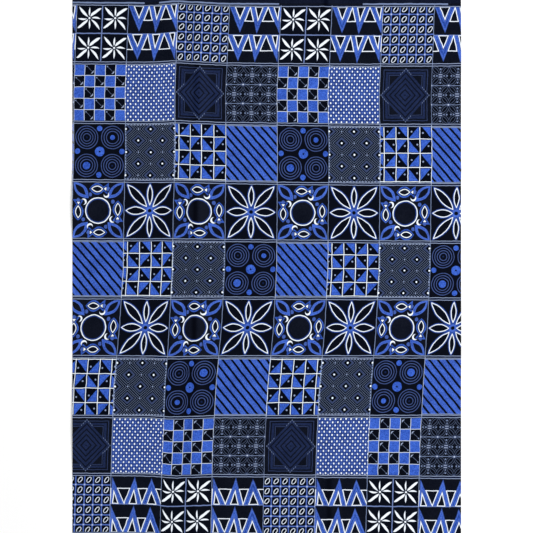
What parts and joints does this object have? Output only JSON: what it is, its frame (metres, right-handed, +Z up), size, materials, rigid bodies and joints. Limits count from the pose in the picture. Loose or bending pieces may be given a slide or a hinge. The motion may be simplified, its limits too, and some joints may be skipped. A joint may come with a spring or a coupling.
{
  "type": "ankara fabric",
  "caption": "Flat cut length of patchwork-print cotton cloth, full loom width, lying face up with low pressed folds.",
  "frame": {"origin": "on the surface that the cloth lies on, under the middle of the cloth", "axes": "+X along the selvages, to the right of the print; +Y from the bottom selvage to the top one; +Z up, out of the face of the cloth"},
  "size_m": [0.829, 1.16, 0.0042],
  "materials": {
    "printed_cotton": "matte plain-weave cotton, wax printed in blue, black and white"
  },
  "bodies": {
    "root": {"cloth": "printed_cotton"}
  },
  "joints": []
}
